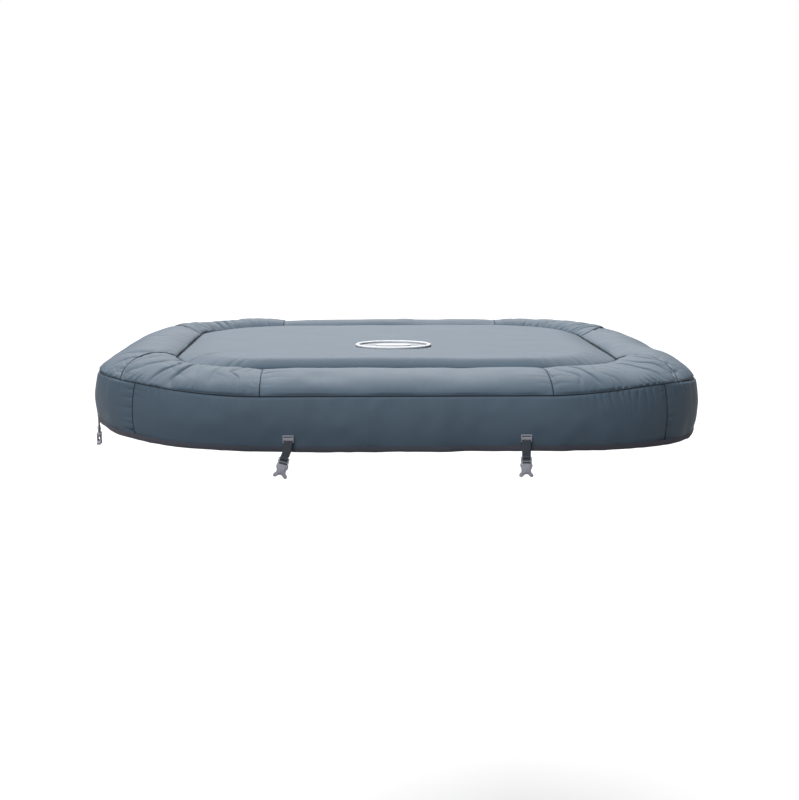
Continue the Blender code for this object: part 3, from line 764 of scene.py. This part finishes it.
class COVER_OT_border(bpy.types.Operator):
    """Builds the padded border's strips and corner pieces"""
    bl_idname = "cover.border"
    bl_label = "Border"

    def execute(self, context):
        detail = sizes().detail
        pieces = [
            ("border_strip_front", 0, FRONT_RIGHT_SEAM, 0, 0),
            ("border_corner_front_right", FRONT_RIGHT_SEAM, 2, 0, -1),
            ("border_strip_right", 2, 3, -1, 1), ("border_corner_back_right", 3, 4, 1, 0),
            ("border_strip_back", 4, 5, 0, 0), ("border_corner_back_left", 5, 6, 0, -1),
            ("border_strip_left", 6, 7, -1, 1), ("border_corner_front_left", 7, 8, 1, 0),
        ]
        for index, (name, start, end, swing_start, swing_end) in enumerate(pieces):
            inset = SEAM_INSET / PLACE_LENGTH
            place_of = border_places(start + inset, end - inset, swing_start, swing_end)
            surface = border_surface(place_of)
            straight = name in ("border_strip_front", "border_strip_back")
            wrinkle = border_wrinkle(place_of, 40 + 50 * index, 0.004 if straight else sizes().corner_folds)
            span = (end - start + sizes().side_seam_swing * abs(swing_end - swing_start)) * PLACE_LENGTH
            item = cloth_panel(
                f"{name}_cloth", surface, wrinkle, (detail, detail // 2), (span, 0.30), finish_of("cover"), up)
            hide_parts(name)
            declare_sheet(surface, (span, BORDER_CUT_WIDTH))
        return {"FINISHED"}


class COVER_OT_skirt(bpy.types.Operator):
    """Builds the four panels of the hanging skirt"""
    bl_idname = "cover.skirt"
    bl_label = "Skirt"

    def execute(self, context):
        for index, name in enumerate(SKIRT_NODES):
            middle = 2 * index + 0.5
            surface = skirt_surface(middle)
            span = 2.04 * PLACE_LENGTH
            item = cloth_panel(
                f"{name}_cloth", surface, skirt_wrinkle(middle, 120 + 10 * index), (3 * sizes().detail, 56),
                (span, 0.16), finish_of("cover"), away)
            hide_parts(name)
            declare_sheet(surface, (span, SKIRT_CUT_WIDTH))
        return {"FINISHED"}


class COVER_OT_hem(bpy.types.Operator):
    """Builds the binding tape folded round the hem"""
    bl_idname = "cover.hem"
    bl_label = "Hem Binding"

    def execute(self, context):
        count = 900
        width, wall = 0.0165, 0.0016
        builder = bmesh.new()
        layer = builder.loops.layers.uv.new("cloth")
        place = np.arange(count) / count * PLACES
        top = seam_height(place)
        bottom = hem_height(place)
        rows = []
        # The tape's section: down its outer face, round the hem, up its inner face and back inside
        section = [
            (width, wall), (0.6 * width, wall * 1.15), (0.15 * width, wall), (0.0, 0.5 * wall),
            (0.0, -0.7 * wall), (0.15 * width, -wall * 1.2), (0.6 * width, -wall * 1.3), (width, -wall * 1.2),
            (width, -wall), (0.15 * width, -wall), (0.15 * width, 0.7 * wall), (width, 0.7 * wall),
        ]
        for lift, out in section:
            share = 1 - lift / (top - bottom)
            ripple = 0.0012 * (ring_wander(place, 300, 77) - 0.5)
            x, y = outline(skirt_half(share, place) + out + ripple, place)
            z = bottom + lift + 0.0010 * (ring_wander(place, 230, 78) - 0.5)
            rows.append([builder.verts.new(point) for point in zip(x, y, z)])
        for r, row in enumerate(rows):
            after = rows[(r + 1) % len(rows)]
            for i in range(count):
                j = (i + 1) % count
                face = builder.faces.new((row[i], after[i], after[j], row[j]))
                for loop, (du, dv) in zip(face.loops, ((0, 0), (0, 1), (1, 1), (1, 0))):
                    loop[layer].uv = ((i + du) * 0.0072, (r + dv) * 0.004)
        bmesh.ops.recalc_face_normals(builder, faces=builder.faces)
        item = new_object("hem_binding_tape", builder, finish_of("tape"))
        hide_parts("hem_binding")
        return {"FINISHED"}


class COVER_OT_seams(bpy.types.Operator):
    """Builds the stitched seams between the panels, dark for their thread and for painted shade of their
    grooves
    """
    bl_idname = "cover.seams"
    bl_label = "Seams"

    def execute(self, context):
        # The seam tubes' dark colour is partly thread and partly painted shade of the sunken grooves.
        thread = finish_of("seam")
        count = 1200
        ring = np.arange(count) / count * PLACES
        wave = 0.0020 * (ring_wander(ring, 150, 91) - 0.5)
        x, y = outline(INNER_HALF + wave, ring)
        z = inner_height(ring) - SEAM_DEPTH + wave
        stitched_line("seam_inner", zip_points(x, y, z), True, thread, 0.0013)
        wave = 0.0024 * (ring_wander(ring, 160, 92) - 0.5) * (0.3 + cornering(ring))
        x, y = outline(HALF - SEAM_DEPTH + 0.3 * wave, ring)
        stitched_line("seam_skirt_top", zip_points(x, y, seam_height(ring) + wave), True, thread, 0.0016)
        down = np.linspace(0.0, 1.0, 60)
        radial = ((0, 0), (FRONT_RIGHT_SEAM, 0), (2, -1), (3, 1), (4, 0), (5, 0), (6, -1), (7, 1))
        for index, (place, swing) in enumerate(radial):
            points = border_surface(border_places(place, place + 1, swing, 0))(0 * down, down)
            points[:, 2] -= SEAM_DEPTH + 0.0003
            stitched_line(f"seam_border_{index + 1}", points, False, thread, 0.0013)
        down = np.linspace(0.02, 0.97, 40)
        for index, place in enumerate((1.5, 3.5, 5.5, 7.5)):
            around = np.full_like(down, place)
            x, y = outline(skirt_half(down, around) - SEAM_DEPTH, around)
            top, bottom = seam_height(around), hem_height(around)
            points = zip_points(x, y, top + (bottom - top) * down)
            stitched_line(f"seam_upright_{index + 1}", points, False, thread, 0.0015)
        return {"FINISHED"}


class COVER_OT_badge(bpy.types.Operator):
    """Builds the plain oval badge on the centre panel"""
    bl_idname = "cover.badge"
    bl_label = "Badge"

    def execute(self, context):
        low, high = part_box("badge_rim")
        centre = (low + high) / 2
        radius = (high.x - low.x) / 2
        base = CENTRE_Z - PLATEAU_SINK - 0.001
        rim = bmesh.new()
        wide, tall, turns = 0.0065, 0.0045, 14
        angles = [math.tau * turn / turns for turn in range(turns)]
        tube = [(radius - wide + wide * math.cos(a), base + 0.005 + tall * math.sin(a)) for a in angles]
        spin_profile(rim, tube, centre)
        item = new_object("badge_rim_ring", rim, finish_of("white"))
        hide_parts("badge_rim")
        plate = bmesh.new()
        inner = radius - 0.012
        crown = [
            (0.0, base + 0.0035), (inner * 0.7, base + 0.0033), (inner, base + 0.0028), (inner, base),
            (0.0, base)]
        spin_profile(plate, crown, centre, closed=False)
        item = new_object("badge_ground", plate, finish_of("blue"))
        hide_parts("badge_plate")
        bar = bmesh.new()
        bmesh.ops.create_cube(bar, size=1.0)
        bmesh.ops.scale(bar, vec=(0.110, 0.050, 0.004), verts=bar.verts)
        bmesh.ops.translate(bar, vec=(centre.x, centre.y, base + 0.0045), verts=bar.verts)
        upright = [edge for edge in bar.edges if abs(edge.verts[0].co.z - edge.verts[1].co.z) > 0.001]
        bmesh.ops.bevel(bar, geom=upright, offset=0.024, segments=10, profile=0.5, affect="EDGES", material=-1)
        item = new_object("badge_lozenge", bar, finish_of("white"), smooth_angle=30)
        soften(item, 0.0008)
        return {"FINISHED"}


def spin_profile(builder, profile, centre, closed=True):
    """Spins (radius, z) points about the vertical through centre into a closed skin."""
    verts = [builder.verts.new((radius, 0, z)) for radius, z in profile]
    edges = [builder.edges.new(pair) for pair in zip(verts, verts[1:])]
    if closed:
        edges.append(builder.edges.new((verts[-1], verts[0])))
    bmesh.ops.spin(
        builder, geom=verts + edges, cent=(0, 0, 0), axis=(0, 0, 1), angle=math.tau, steps=96, use_merge=True)
    bmesh.ops.remove_doubles(builder, verts=builder.verts, dist=0.00001)
    bmesh.ops.recalc_face_normals(builder, faces=builder.faces)
    bmesh.ops.translate(builder, vec=(centre.x, centre.y, 0), verts=builder.verts)


def soften(item, width):
    """Rounds the sharp edges of a piece."""
    modifier = item.modifiers.new("Rounding", "BEVEL")
    modifier.width = width
    modifier.segments = 2
    modifier.limit_method = "ANGLE"
    modifier.angle_limit = math.radians(35)


def rounded_copy(node, key, width):
    """A copy of a moulded node with its edges rounded, which stands for the node."""
    source = frame["nodes"][node]
    builder = bmesh.new()
    builder.from_mesh(source.data)
    bmesh.ops.remove_doubles(builder, verts=builder.verts, dist=0.00002)
    bmesh.ops.dissolve_limit(builder, angle_limit=math.radians(1.5), verts=builder.verts, edges=builder.edges)
    limit = math.radians(35)
    sharp = [edge for edge in builder.edges if edge.is_manifold and edge.calc_face_angle(0) > limit]
    bmesh.ops.bevel(
        builder, geom=sharp, offset=width, segments=2, profile=0.5, affect="EDGES", material=-1,
        clamp_overlap=True)
    item = new_object(f"{node}_rounded", builder, finish_of(key), source["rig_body"], smooth_angle=40)
    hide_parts(node)


def strap_space(name):
    """The turning frame of a strap: its hinge point, and the directions across, outwards and up."""
    joint = JOINTS[f"strap_swing_{name}"]
    across = -Vector(joint["axis"]).normalized()
    up_way = Vector((0, 0, 1))
    return Vector(joint["pos_m"]), across, across.cross(up_way), up_way


def buckle_space(name):
    """The frame of a buckle at rest: its pivot, and the directions across, outwards and up."""
    _, across, outward, up_way = strap_space(name)
    if name == LEANING_STRAP:
        c, s = math.cos(BUCKLE_LEAN), math.sin(BUCKLE_LEAN)
        across, up_way = across * c - up_way * s, up_way * c + across * s
    return Vector(JOINTS[f"buckle_pivot_{name}"]["pos_m"]), across, outward, up_way


def ribbon(name, body, key, path, space, half=WEBBING_HALF, thickness=WEBBING_THICKNESS):
    """Webbing that follows a path of (shift across, outwards, up) points, as a thin rounded strip."""
    origin, across, outward, up_way = space
    points = np.array(path, float)
    ticks = np.linspace(0, len(points) - 1, 10 * len(points))
    knots = np.arange(len(points))
    smooth = np.stack([np.interp(ticks, knots, column) for column in points.T], axis=1)
    for _ in range(4):
        smooth[1:-1] = 0.25 * smooth[:-2] + 0.5 * smooth[1:-1] + 0.25 * smooth[2:]
    builder = bmesh.new()
    layer = builder.loops.layers.uv.new("cloth")
    bmesh.ops.create_grid(builder, x_segments=6, y_segments=len(smooth) - 1, size=0.5, calc_uvs=True)
    steps = np.concatenate(([0], np.cumsum(np.linalg.norm(np.diff(smooth, axis=0), axis=1))))
    for face in builder.faces:
        for loop in face.loops:
            row = int(round((loop.vert.co.y + 0.5) * (len(smooth) - 1)))
            loop[layer].uv = (loop.vert.co.x * 2 * half, steps[row])
    for vert in builder.verts:
        row = int(round((vert.co.y + 0.5) * (len(smooth) - 1)))
        shift, out, rise = smooth[row]
        vert.co = origin + across * (shift + 2 * half * vert.co.x) + outward * out + up_way * rise
    item = new_object(name, builder, finish_of(key), body, smooth_angle=60)
    modifier = item.modifiers.new("Thickness", "SOLIDIFY")
    modifier.thickness = thickness
    modifier.offset = 0.0
    return item


class COVER_OT_straps(bpy.types.Operator):
    """Builds the keepers, webbing straps and buckle sockets"""
    bl_idname = "cover.straps"
    bl_label = "Straps"

    def execute(self, context):
        for name in STRAPS:
            rounded_copy(f"strap_keeper_{name}", "plastic", 0.0006)
            rounded_copy(f"buckle_socket_{name}", "plastic", 0.0007)
            self.build_strip(name)
            self.build_tab(name)
            self.build_loop(name)
            self.build_grips(name)
        return {"FINISHED"}

    def build_strip(self, name):
        """The hanging webbing: from inside the keeper's slot down to the buckle."""
        space = strap_space(name)
        fall = Vector(JOINTS[f"buckle_pivot_{name}"]["pos_m"]) - space[0]
        drop, lean = -fall.z, fall.dot(space[1])
        webbing = ribbon(
            f"strap_webbing_{name}_strip", f"strap_{name}", "webbing",
            [(0, -0.0030, 0.0040), (0, -0.0012, 0.0036), (0, 0.0002, 0.0022), (0, 0.0004, 0.0),
             (0.10 * lean, 0.0004, -0.3 * drop), (0.35 * lean, 0.0002, -0.6 * drop),
             (0.75 * lean, 0, -0.85 * drop), (lean, 0, -drop - 0.0005)], space)
        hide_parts(f"strap_webbing_{name}")

    def build_tab(self, name):
        """The sewn tab: webbing behind the keeper that comes from the skirt."""
        ribbon(
            f"strap_tab_{name}", "cover", "webbing",
            [(0, -0.0052, 0.0225), (0, -0.0050, 0.0150), (0, -0.0046, 0.0100), (0, -0.0042, 0.0060),
             (0, -0.0046, 0.0020), (0, -0.0054, -0.0060)], strap_space(name))

    def build_loop(self, name):
        """The webbing wound round the two ladder bars of the buckle."""
        ribbon(
            f"strap_loop_{name}", f"buckle_{name}", "webbing",
            [(0, 0.0, 0.0010), (0, 0.0031, -0.0008), (0, 0.0033, -0.0034), (0, 0.0012, -0.0056),
             (0, -0.0018, -0.0068), (0, -0.0033, -0.0094), (0, -0.0020, -0.0134), (0, 0.0010, -0.0150),
             (0, 0.0033, -0.0182), (0, 0.0020, -0.0146), (0, 0.0006, -0.0120), (0, 0.0031, -0.0094),
             (0, 0.0028, -0.0064)],
            buckle_space(name), half=0.0120, thickness=0.0010)

    def build_grips(self, name):
        """Raised grip plates on the front and the back of the buckle's body."""
        pivot, across, outward, up_way = buckle_space(name)
        half = 0.0078
        shape = [
            (half, -0.0265), (half, -0.0440), (half + 0.0012, -0.0475), (0.0045, -0.0452), (0.0, -0.0448)]
        shape += [(-x, z) for x, z in reversed(shape[:-1])]
        shape += [(-0.0030, -0.0262), (-0.0012, -0.0300), (0.0012, -0.0300), (0.0030, -0.0262)]
        for side, label in ((1, "front"), (-1, "back")):
            builder = bmesh.new()
            base = pivot + outward * 0.0050 * side
            rim = [builder.verts.new(base + across * x + up_way * z) for x, z in shape]
            face = builder.faces.new(rim)
            grown = bmesh.ops.extrude_face_region(builder, geom=[face])
            moved = [item for item in grown["geom"] if isinstance(item, bmesh.types.BMVert)]
            bmesh.ops.translate(builder, vec=outward * 0.0019 * side, verts=moved)
            bmesh.ops.recalc_face_normals(builder, faces=builder.faces)
            edges = [edge for edge in builder.edges if edge.calc_face_angle(0) > 0.9]
            bmesh.ops.bevel(
                builder, geom=edges, offset=0.0005, segments=2, profile=0.5, affect="EDGES", material=-1,
                clamp_overlap=True)
            title = f"buckle_grip_{label}_{name}"
            item = new_object(title, builder, finish_of("plastic"), f"buckle_{name}", smooth_angle=40)


class COVER_OT_inside(bpy.types.Operator):
    """Builds the insert and the liner, and finishes the zip and the valve"""
    bl_idname = "cover.inside"
    bl_label = "Inside"

    def execute(self, context):
        self.build_insert()
        self.build_liner()
        for name in sorted(frame["nodes"]):
            if name.startswith("insert_web"):
                dress_node(name, "vinyl")
        for name in ("valve_base", "valve_cap", "valve_flap"):
            rounded_copy(name, "vinyl", 0.0004)
        for side in ("front", "back"):
            dress_node(f"zip_tape_{side}", "zip_tape")
            dress_node(f"zip_chain_{side}", "coil")
        rounded_copy("zip_slider", "metal", 0.0003)
        rounded_copy("zip_pull", "metal", 0.0003)
        return {"FINISHED"}

    def build_insert(self):
        """The inflated insert: a closed vinyl skin a little below the cloth."""
        builder = bmesh.new()
        bmesh.ops.create_uvsphere(builder, u_segments=192, v_segments=64, radius=1.0, calc_uvs=True)
        points = np.array([vert.co[:] for vert in builder.verts])
        place = np.mod((np.arctan2(points[:, 1], points[:, 0]) + math.pi / 2) * 4 / math.pi + 0.5, PLACES)
        slant = np.arccos(np.clip(np.abs(points[:, 2]), 0, 1)) / (math.pi / 2)
        rim = HALF - 0.034
        half = rim * slant ** 0.85
        floor_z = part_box("inflatable_insert")[0].z
        ring_x, ring_y = outline(np.full_like(half, rim), place)
        x, y = ring_x * half / rim, ring_y * half / rim
        reach, spot = place_at(x, y)
        past_seam = reach - INNER_HALF
        sink = 0.007 + 0.018 * hump(past_seam, 0.08) + 0.014 * np.clip(past_seam / 0.05, 0, 1)
        top = cover_height(reach, spot) - sink
        middle = 0.5 * (floor_z + cover_height(np.full_like(half, rim), place) - 0.014)
        turn = np.sqrt(np.clip(1 - (np.clip((slant - 0.94) / 0.06, 0, 1)) ** 2, 0, 1))
        low = middle + (floor_z - middle) * turn
        high = middle + (top - middle) * turn
        z = np.where(points[:, 2] > 0, high, low)
        for vert, point in zip(builder.verts, zip(x, y, z)):
            vert.co = point
        lay_flat(builder)
        bmesh.ops.recalc_face_normals(builder, faces=builder.faces)
        item = new_object("insert_vinyl", builder, finish_of("vinyl"), smooth_angle=180)
        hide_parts("inflatable_insert")

    def build_liner(self):
        """The liner: lining cloth with a few shallow wrinkles between the zip, the port and its edge."""
        source = frame["nodes"]["liner"]
        low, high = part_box("liner")
        builder = bmesh.new()
        builder.from_mesh(source.data)
        bmesh.ops.remove_doubles(builder, verts=builder.verts, dist=0.00002)
        flat = math.radians(1.0)
        bmesh.ops.dissolve_limit(builder, angle_limit=flat, verts=builder.verts, edges=builder.edges)
        count = 90
        for axis in (0, 1):
            for step in range(1, count):
                place = low[axis] + (high[axis] - low[axis]) * step / count
                centre, normal = [0.0, 0.0, 0.0], [0.0, 0.0, 0.0]
                centre[axis], normal[axis] = place, 1.0
                bmesh.ops.bisect_plane(
                    builder, geom=builder.verts[:] + builder.edges[:] + builder.faces[:], dist=0.00001,
                    plane_co=centre, plane_no=normal)
        points = np.array([vert.co[:] for vert in builder.verts])
        x, y = points[:, 0], points[:, 1]
        zip_y = 0.5 * (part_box("zip_chain_front")[1].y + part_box("zip_chain_back")[0].y)
        from_zip = np.hypot(np.maximum(np.abs(x) - 0.56, 0), np.maximum(np.abs(y - zip_y) - 0.012, 0))
        from_valve = np.maximum(np.hypot(x, y - 0.62) - 0.04, 0)
        from_edge = np.maximum(high.x - np.maximum(np.abs(x), np.abs(y)), 0)
        free = 1 - near(np.minimum(np.minimum(from_zip, from_valve), from_edge), 0.03)
        sag = -0.0045 * patches(x / 0.22, y / 0.22, 201) - 0.0016 * patches(x / 0.07, y / 0.07, 202)
        sag += 0.0030 * gathers((x + 0.4 * y + 0.05 * patches(x / 0.1, y / 0.1, 204)) / 0.17, 203, 4.0)
        sag += 0.0022 * gathers((y - 0.3 * x + 0.05 * patches(x / 0.1, y / 0.1, 205)) / 0.21, 206, 4.0)
        for vert, drop in zip(builder.verts, free * sag):
            vert.co.z += drop
        lay_flat(builder)
        item = new_object("liner_cloth", builder, finish_of("liner"), smooth_angle=50)
        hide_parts("liner")


class COVER_OT_stage(bpy.types.Operator):
    """Adds the pale floor, the soft studio lights and the camera"""
    bl_idname = "cover.stage"
    bl_label = "Stage"

    def execute(self, context):
        scene = context.scene
        floor = bmesh.new()
        bmesh.ops.create_grid(floor, x_segments=1, y_segments=1, size=FLOOR_HALF)
        bmesh.ops.translate(floor, vec=(0, 0, FLOOR_Z), verts=floor.verts)
        material, _, shader = start_material("pale_floor", 0.9)
        shader.inputs["Base Color"].default_value = linear("#dedede")
        mesh = bpy.data.meshes.new("floor")
        floor.to_mesh(mesh)
        floor.free()
        mesh.materials.append(material)
        ground = bpy.data.objects.new("floor", mesh)
        scene.collection.objects.link(ground)
        ground.visible_diffuse = False
        ground.visible_shadow = False
        world = bpy.data.worlds.new("studio")
        world.use_nodes = True
        world.node_tree.nodes["Background"].inputs["Color"].default_value = (1, 1, 1, 1)
        world.node_tree.nodes["Background"].inputs["Strength"].default_value = 1.0
        world.cycles_visibility.diffuse = False
        world.cycles_visibility.glossy = False
        scene.world = world
        scene.view_settings.view_transform = "Standard"
        # Each lamp: name, direction it stands in, how wide it looks in degrees, strength
        for name, toward, spread, strength in (
            ("key_behind", (0.0, 1.0, 0.95), 45, 3.9),
            ("fill_front", (-0.45, -1.0, 1.25), 45, 3.2),
            ("fill_left", (-1.0, -0.1, 0.35), 60, 0.2),
            ("fill_right", (1.0, -0.1, 0.35), 60, 0.1),
            ("fill_below", (0.0, -0.2, -1.0), 120, 0.2),
        ):
            light = bpy.data.lights.new(name, "SUN")
            light.angle = math.radians(spread)
            light.energy = strength
            lamp = bpy.data.objects.new(name, light)
            lamp.rotation_euler = Vector(toward).to_track_quat("Z", "Y").to_euler()
            scene.collection.objects.link(lamp)
        camera = bpy.data.cameras.new("camera")
        camera.lens = CAMERA_LENS
        camera.sensor_width = CAMERA_SENSOR
        eye = bpy.data.objects.new("camera", camera)
        eye.location = CAMERA_PLACE
        eye.rotation_euler = CAMERA_TURN
        scene.collection.objects.link(eye)
        scene.camera = eye
        return {"FINISHED"}


OPERATORS = (
    COVER_OT_centre_panel, COVER_OT_border, COVER_OT_skirt, COVER_OT_hem, COVER_OT_seams, COVER_OT_badge,
    COVER_OT_straps, COVER_OT_inside, COVER_OT_stage,
)


class COVER_PT_panel(bpy.types.Panel):
    """Sidebar panel that lists the cover's pieces"""
    bl_idname = "COVER_PT_panel"
    bl_label = "Hot Tub Cover"
    bl_space_type = "VIEW_3D"
    bl_region_type = "UI"
    bl_category = "Cover"

    def draw(self, context):
        for operator in OPERATORS:
            self.layout.operator(operator.bl_idname)
        for group in (context.scene.cover_sizes, context.scene.cover_colours):
            for key in group.__annotations__:
                self.layout.prop(group, key)


def register():
    for item in (CoverSizes, CoverColours, *OPERATORS, COVER_PT_panel):
        bpy.utils.register_class(item)
    bpy.types.Scene.cover_sizes = PointerProperty(type=CoverSizes)
    bpy.types.Scene.cover_colours = PointerProperty(type=CoverColours)


def unregister():
    del bpy.types.Scene.cover_colours
    del bpy.types.Scene.cover_sizes
    for item in reversed((CoverSizes, CoverColours, *OPERATORS, COVER_PT_panel)):
        bpy.utils.unregister_class(item)


def main():
    register()
    for operator in OPERATORS:
        group, name = operator.bl_idname.split(".")
        getattr(getattr(bpy.ops, group), name)()


if __name__ == "__main__":
    main()
